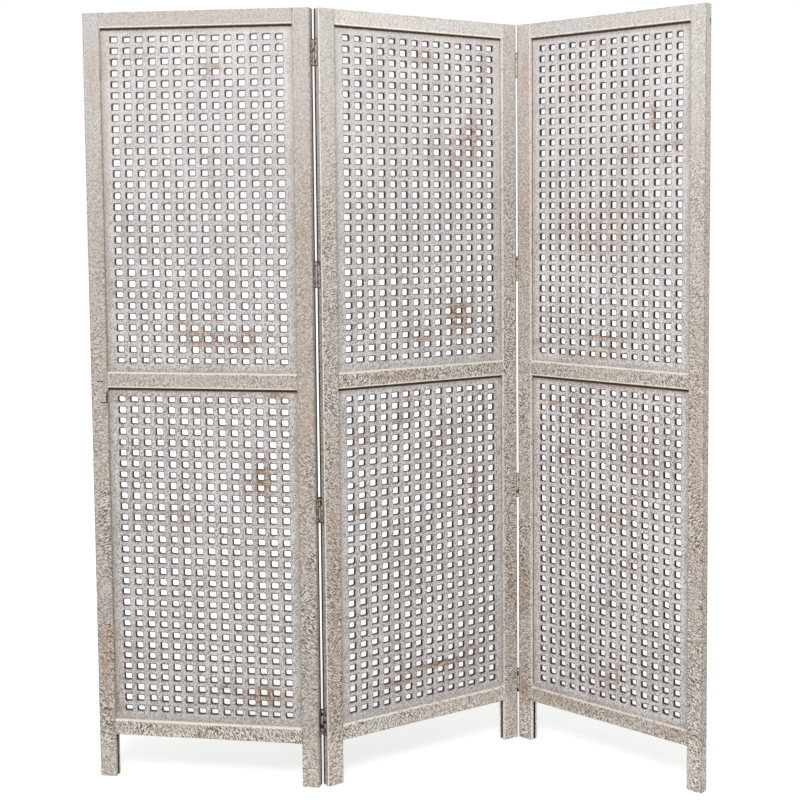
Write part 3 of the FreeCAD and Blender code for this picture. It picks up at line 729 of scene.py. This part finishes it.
def frame_material(name, panel_lit_level, roughness, marks=()):
    """Limewash over rough-sawn wood, painted at each panel's own level of light as painted light,
    and darker lower down as painted shade. roughness is how strongly the saw marks show. marks are
    small dark cracks and knots: centre and reach in millimetres in the panel's frame."""
    g = Graph(name)
    grain = g.attribute("grain", "Vector")
    place = g.place()
    height = g.part(place, "Z")

    coarse = g.noise(grain, (0.009, 0.006, 0.006), 3.0, 0.6)
    speck = g.noise(grain, (0.0034, 0.0028, 0.0028), 2.0, 0.6)
    patch = g.noise(grain, (0.11, 0.04, 0.04), 2.0, 0.5)
    tone = g.noise(grain, (0.2, 0.06, 0.06), 2.0, 0.5, start=(3.1, 0, 0))
    streak = g.noise(grain, (0.12, 0.0028, 0.004), 2.0, 0.5)

    # Saw marks lean one way or the other along the bar, and cross where the two meet.
    rising, falling = (g.noise(grain, SAW_MARK, 0.5, 0.5, lean=lean) for lean in SAW_LEANS)
    choice = g.noise(grain, (0.16, 0.07, 0.07), 1.0, 0.5, start=(0, 5.3, 0))
    saw = g.between(choice, 0.46, 0.54, rising, falling)
    force = g.times(g.between(patch, 0.36, 0.6, 0.55, 1.0), g.between(height, 0.8, 1.7, 1.0, 0.3))
    force = g.times(force, g.between(height, 0.5, 0.9, 1.0, roughness))
    clean = g.between(height, *CLEAN_AND_LIT_HEIGHTS)

    wash = g.mix(g.between(tone, 0.36, 0.64), WARM_WASH, PALE_WASH)
    wash = g.mix(clean, wash, CLEAN_WASH)
    deep = g.mix(g.between(coarse, 0.35, 0.65), SAW_DARK, SAW_BROWN)
    colour = g.mix(g.times(g.between(saw, 0.505, 0.55), force, 0.95), wash, deep)
    colour = g.mix(g.times(g.between(saw, 0.48, 0.435), force, 0.95), colour, SAW_RIDGE)
    grit = g.between(clean, 0.0, 1.0, 0.75 * roughness, 0.3)
    colour = g.mix(g.times(g.between(speck, 0.54, 0.61), grit), colour, DARK_GRIT)
    colour = g.mix(g.times(g.between(speck, 0.45, 0.38), grit), colour, PALE_GRIT)
    colour = g.mix(g.between(streak, 0.6, 0.74, 0.0, 0.35), colour, STREAK)
    stain = g.times(g.attribute("stain"), g.between(coarse, 0.3, 0.62))
    colour = g.mix(g.times(stain, 0.6), colour, FRAME_STAIN)
    edge = g.times(g.attribute("wear"), g.between(coarse, 0.4, 0.62))
    colour = g.mix(g.times(edge, 0.6), colour, WORN_WOOD)
    # Cream on the edges: partly pale wash, partly a painted highlight where top edges and arrises
    # catch the light.
    cream_and_highlight = g.times(g.attribute("sill"), g.between(coarse, 0.34, 0.48, 0.45, 1.0))
    colour = g.mix(g.between(cream_and_highlight, 0.25, 0.6, 0.0, 0.9), colour, CREAM_WASH_AND_HIGHLIGHT)
    # Painted shade and dirt: dark in the grooves, on their lips and along plain outer arrises.
    shade_and_dirt = g.math("MULTIPLY_ADD", coarse, 0.5, g.attribute("shade"))
    colour = g.mix(g.between(shade_and_dirt, 0.6, 1.05), colour, FRAME_SHADE_AND_DIRT)
    # Painted shade in the slots between the panels, near black.
    colour = g.mix(g.between(shade_and_dirt, 1.3, 1.6), colour, JOINT_SLOT_SHADE)
    # Painted light and shade: darker lower down, at this panel's own level of light.
    colour = g.scaled(colour, g.between(height, *CLEAN_AND_LIT_HEIGHTS, 0.91 * panel_lit_level, panel_lit_level))
    colour = g.scaled(colour, g.between(height, *FEET, 1.0, 1.18))
    colour = g.scaled(colour, g.math("ADD", g.attribute("pale"), 1.0))
    for centre, reach in marks:
        spot = g.spot(place, [c * MM for c in centre], [r * MM for r in reach])
        colour = g.mix(g.times(spot, g.between(speck, 0.3, 0.5, 0.5, 0.9)), colour, CRACK)
    relief = g.math("ADD", g.times(saw, force, 0.9), g.times(coarse, 0.3))
    return g.finish(colour, g.math("ADD", relief, g.times(speck, 0.4)), 0.0012, 0.8, 0.82)


COOL_WASH = rgb(204, 201, 201)
WHITE_WASH = rgb(218, 215, 214)
BLUSH = rgb(207, 190, 180)
SCRATCH = rgb(136, 120, 108)
DARK_SPECK = rgb(128, 116, 109)
PALE_SPECK = rgb(240, 238, 238)
RUST = rgb(152, 114, 80)
HOLE_RIM = rgb(104, 88, 78)
BOARD_SHADE_AND_DIRT = rgb(84, 64, 52)


def board_material(name, low_lit_level, high_lit_level, walls, margin):
    """Smoother and cooler limewash on the pierced boards, painted lighter towards the top by the
    two levels as painted light from above, with bare brown wood on the holes' walls, painted
    darker still as painted shade, and a tint on the margins beside the frame."""
    g = Graph(name)
    grain = g.attribute("grain", "Vector")
    height = g.part(g.place(), "Z")
    depth = g.math("ABSOLUTE", g.part(grain, "Z"))

    coarse = g.noise(grain, (0.008, 0.006, 0.006), 3.0, 0.6)
    speck = g.noise(grain, (0.0030, 0.0026, 0.0026), 2.0, 0.6)
    patch = g.noise(grain, (0.09, 0.07, 0.07), 2.0, 0.5)
    tone = g.noise(grain, (0.13, 0.1, 0.1), 3.0, 0.55)
    blush = g.noise(grain, (0.07, 0.09, 0.09), 3.0, 0.6, start=(3.1, 1.7, 0))
    scratch = g.noise(grain, (0.014, 0.0036, 0.0036), 1.5, 0.5, lean=42)
    across = g.noise(grain, (0.0045, 0.022, 0.022), 2.0, 0.55)
    along = g.noise(grain, (0.022, 0.0045, 0.0045), 2.0, 0.55)

    wash = g.mix(g.between(tone, 0.38, 0.62), COOL_WASH, WHITE_WASH)
    wash = g.mix(g.between(blush, 0.5, 0.7, 0.0, 0.45), wash, BLUSH)
    force = g.times(g.between(patch, 0.4, 0.62, 0.35, 1.0), g.between(height, 0.8, 1.6, 1.0, 0.5))
    colour = g.mix(g.times(g.between(scratch, 0.52, 0.58), force, 0.65), wash, SCRATCH)
    grit = g.between(height, 0.9, 1.5, 0.75, 0.35)
    colour = g.mix(g.times(g.between(speck, 0.53, 0.61), grit), colour, DARK_SPECK)
    colour = g.mix(g.times(g.between(speck, 0.46, 0.39), grit), colour, PALE_SPECK)
    colour = g.mix(g.times(g.attribute("sill"), 0.4), colour, margin)
    rust = g.math("MAXIMUM", g.between(across, 0.5, 0.6), g.between(along, 0.5, 0.6))
    stain = g.times(g.attribute("stain"), g.math("MULTIPLY_ADD", rust, 0.8, 0.2))
    colour = g.mix(g.times(stain, 0.85), colour, RUST)
    rim = g.math("MULTIPLY_ADD", coarse, 0.12, g.attribute("rim"))
    colour = g.mix(g.between(rim, 0.72, 0.84, 0.0, 0.8), colour, HOLE_RIM)
    # Painted shade: the holes' walls are bare brown wood, painted darker still for the shade
    # inside the holes.
    colour = g.mix(g.between(depth, 0.0036, 0.0028), colour, walls)
    # Painted shade and dirt: darker in the margins under the rails and beside the stiles.
    shade_and_dirt = g.math("MULTIPLY_ADD", coarse, 0.5, g.attribute("shade"))
    colour = g.mix(g.between(shade_and_dirt, 0.62, 1.1), colour, BOARD_SHADE_AND_DIRT)
    # Painted light and shade: the boards are darker lower down, at this panel's own levels.
    colour = g.scaled(colour, g.between(height, *CLEAN_AND_LIT_HEIGHTS, low_lit_level, high_lit_level))
    return g.finish(colour, g.math("ADD", coarse, g.times(speck, 0.5)), 0.0006, 0.7, 0.78)


LEAF_HEIGHTS = {
    joint: [
        heights(name) for name in frame["nodes"]
        if name.startswith(joint) and name.endswith("leaf")
    ]
    for joint in ("left", "right")
}
GRIME_AND_CREVICE_SHADE = rgb(62, 48, 42)
# The wash on the hinges is painted lighter than the frame's, as painted light on their shaded
# faces.
LIT_DULL_PAINT = rgb(196, 184, 178)
LIT_FRESH_PAINT = rgb(236, 228, 223)


def metal_material(name, dark, light, painted_share, joint=None):
    """Dull hinge metal, painted over with the wash for about a share of its surface. The leaves of
    a joint are painted dark as painted shade round their edges and where they meet their barrel,
    which their distances from the pin's axis and from their own ends say, both in millimetres, and
    they have dark blots of grime."""
    g = Graph(name)
    place = g.place()
    broad = g.noise(place, (0.008, 0.008, 0.014), 2.0, 0.6)
    fine = g.noise(place, (0.0025, 0.0025, 0.0025), 3.0, 0.6)
    bare = g.mix(g.between(fine, 0.35, 0.65), dark, light)
    paint = g.mix(g.between(fine, 0.3, 0.7), LIT_DULL_PAINT, LIT_FRESH_PAINT)
    level = g.math("MULTIPLY_ADD", g.part(place, "Z"), 0.1, broad)
    edge = 0.72 - 0.32 * painted_share
    cover = g.between(level, edge, edge + 0.04)
    metallic = g.times(g.math("SUBTRACT", 1.0, cover), 0.6)
    g.feed(g.shader.inputs["Metallic"], metallic)
    colour = g.mix(cover, bare, paint)
    if joint:
        axis = pins[f"{joint}_fold"]
        flat = g.measured(place, (MM, MM, 1e6), (axis.x, axis.y, 0))
        reach = g.length(flat)
        crevice = g.times(g.between(reach, 2.15, 2.5), g.between(reach, 6.2, 5.2))
        outline = g.between(reach, 15.0, 16.0)
        height = g.part(place, "Z")
        for low, high in LEAF_HEIGHTS[joint]:
            tip = g.math("ABSOLUTE", g.math("SUBTRACT", height, (low + high) / 2 * MM))
            half = (high - low) / 2 * MM
            within = g.between(tip, half + 1 * MM, half + 0.5 * MM)
            end = g.times(within, g.between(tip, half - 3 * MM, half - 1.5 * MM))
            outline = g.math("MAXIMUM", outline, end)
        blots = g.between(g.noise(place, (0.005, 0.005, 0.008), 2.0, 0.5), 0.55, 0.6)
        # Painted shade in the crevice beside the barrel and round the leaves' edges, with dark
        # blots of grime.
        worn = g.math("MAXIMUM", g.math("MAXIMUM", crevice, outline), blots)
        colour = g.mix(g.times(worn, 0.9), colour, GRIME_AND_CREVICE_SHADE)
    return g.finish(colour, g.math("ADD", fine, cover), 0.0002, 0.6, 0.5)


# A split beside the left panel's middle rail, a knot in the right panel's bottom rail, and a dent
# in its outer side.
LEFT_MARKS = (
    ((36.2, -THICK / 2, 860), (3.4, 5, 18)),
    ((29, -THICK / 2, 848.5), (11, 3, 2.4)),
    ((24, -THICK / 2, 895), (15, 3, 1.4)),
)
RIGHT_MARKS = (
    ((444, -THICK / 2, 124), (4.5, 3, 2.2)),
    ((438, -THICK / 2, 126.5), (9, 2, 0.8)),
    ((508, 8, 1663), (3, 3, 10)),
)
# Each panel's frame is painted at its own level of painted light.
frame_wood = {
    "left": frame_material("limewashed_frame_left", 0.91, 0.6, LEFT_MARKS),
    "centre": frame_material("limewashed_frame_centre", 0.98, 1.0),
    "right": frame_material("limewashed_frame_right", 1.01, 0.85, RIGHT_MARKS),
}
# Each panel's boards are painted at their own levels of painted light, and their holes' walls at
# their own depth of painted shade.
board_wood = {
    "left": board_material(
        "limewashed_board_left", 0.89, 1.0, walls=rgb(64, 48, 40), margin=rgb(172, 156, 136),
    ),
    "centre": board_material(
        "limewashed_board_centre", 0.91, 1.05, walls=rgb(56, 43, 36), margin=rgb(186, 176, 164),
    ),
    "right": board_material(
        "limewashed_board_right", 1.02, 1.06, walls=rgb(38, 28, 24), margin=rgb(148, 134, 126),
    ),
}
leaf_metal = {
    joint: metal_material(f"{joint}_leaf_metal", rgb(82, 66, 54), rgb(120, 102, 88), 0.75, joint)
    for joint in ("left", "right")
}
pin_metal = metal_material("hinge_pin_metal", rgb(96, 84, 74), rgb(130, 114, 100), 0.6)
screw_metal = metal_material("hinge_screw_metal", rgb(62, 50, 42), rgb(92, 78, 66), 0.1)

seed = 1
for panel in TURNS:
    for side in ("left", "right"):
        make_stile(panel, side, seed, frame_wood[panel])
        seed += 1
    for kind in RAILS:
        make_rail(panel, kind, seed, frame_wood[panel])
        seed += 1
    for opening in OPENINGS:
        make_board(panel, opening, seed, board_wood[panel])
        seed += 1

for name, node in frame["nodes"].items():
    if "hinge" not in name:
        continue
    metal = leaf_metal[name.split("_")[0]]
    if name.endswith("pin"):
        metal = pin_metal
    if name.endswith("screws"):
        metal = screw_metal
    node.data.materials.clear()
    node.data.materials.append(metal)

# A pale floor that is seen as white away from the screen and keeps its soft shadow beside it.
FLOOR_REACH = 30.0
# How strongly the floor glows near the screen and away from it, and the distances between which
# the glow grows.
GLOW = (0.47, 0.64)
GLOW_REACH = (0.5, 1.8)
floor_mesh = bpy.data.meshes.new("floor")
corners = [(-FLOOR_REACH, -FLOOR_REACH, 0), (FLOOR_REACH, -FLOOR_REACH, 0),
           (FLOOR_REACH, FLOOR_REACH, 0), (-FLOOR_REACH, FLOOR_REACH, 0)]
floor_mesh.from_pydata(corners, [], [(0, 1, 2, 3)])
floor = bpy.data.objects.new("floor", floor_mesh)
scene.collection.objects.link(floor)
g = Graph("floor_white")
g.shader.inputs["Base Color"].default_value = (0.78, 0.78, 0.78, 1)
g.shader.inputs["Roughness"].default_value = 0.9
g.shader.inputs["Specular IOR Level"].default_value = 0.0
g.shader.inputs["Emission Color"].default_value = (1, 1, 1, 1)
path = g.node("ShaderNodeLightPath")
seen = g.math("MAXIMUM", path.outputs["Is Camera Ray"], path.outputs["Is Glossy Ray"])
glow = g.between(g.length(g.place()), *GLOW_REACH, *GLOW)
g.feed(g.shader.inputs["Emission Strength"], g.times(seen, glow))
floor_mesh.materials.append(g.material)

# The world lights the screen at a plain level and is seen as white.
WORLD_LEVEL = 0.65
world = bpy.data.worlds.new("studio")
scene.world = world
world.use_nodes = True
tree = world.node_tree
background = tree.nodes["Background"]
path = tree.nodes.new("ShaderNodeLightPath")
seen = tree.nodes.new("ShaderNodeMath")
seen.operation = "MAXIMUM"
tree.links.new(path.outputs["Is Camera Ray"], seen.inputs[0])
tree.links.new(path.outputs["Is Glossy Ray"], seen.inputs[1])
level = tree.nodes.new("ShaderNodeMapRange")
level.inputs["To Min"].default_value = WORLD_LEVEL
level.inputs["To Max"].default_value = 1.0
tree.links.new(seen.outputs[0], level.inputs["Value"])
tree.links.new(level.outputs["Result"], background.inputs["Strength"])
background.inputs["Color"].default_value = (1, 1, 1, 1)


def area_light(name, place, target, size, power):
    light = bpy.data.lights.new(name, "AREA")
    light.shape = "DISK"
    light.size = size
    light.energy = power
    lamp = bpy.data.objects.new(name, light)
    scene.collection.objects.link(lamp)
    lamp.location = place
    lamp.rotation_euler = (Vector(target) - Vector(place)).to_track_quat("-Z", "Y").to_euler()


area_light("key", place=(-0.25, -3.4, 4.2), target=(0, 0, 1.1), size=2.6, power=128)

# The camera stands where a fit of the panels' corners in the photograph puts it. Its focal length
# and the middle of its picture are in pixels of the photograph's 800 by 800 frame.
PICTURE = 800
FOCAL_PIXELS = 1346.2
MIDDLE_PIXEL = (494.6, 307.4)
CAMERA_PLACE = (0.1779, -3.0178, 1.2610)
CAMERA_YAW, CAMERA_PITCH, CAMERA_ROLL = -0.78, -3.97, -0.25
lens = bpy.data.cameras.new("camera")
camera = bpy.data.objects.new("camera", lens)
scene.collection.objects.link(camera)
scene.camera = camera
lens.sensor_width = 36
lens.lens = FOCAL_PIXELS * lens.sensor_width / PICTURE
lens.shift_x = 0.5 - MIDDLE_PIXEL[0] / PICTURE
lens.shift_y = MIDDLE_PIXEL[1] / PICTURE - 0.5
lens.clip_end = 100
camera.matrix_world = (
    Matrix.Translation(CAMERA_PLACE)
    @ Matrix.Rotation(math.radians(CAMERA_YAW), 4, "Z")
    @ Matrix.Rotation(math.radians(90 + CAMERA_PITCH), 4, "X")
    @ Matrix.Rotation(math.radians(CAMERA_ROLL), 4, "Z")
)

scene.view_settings.view_transform = "Standard"
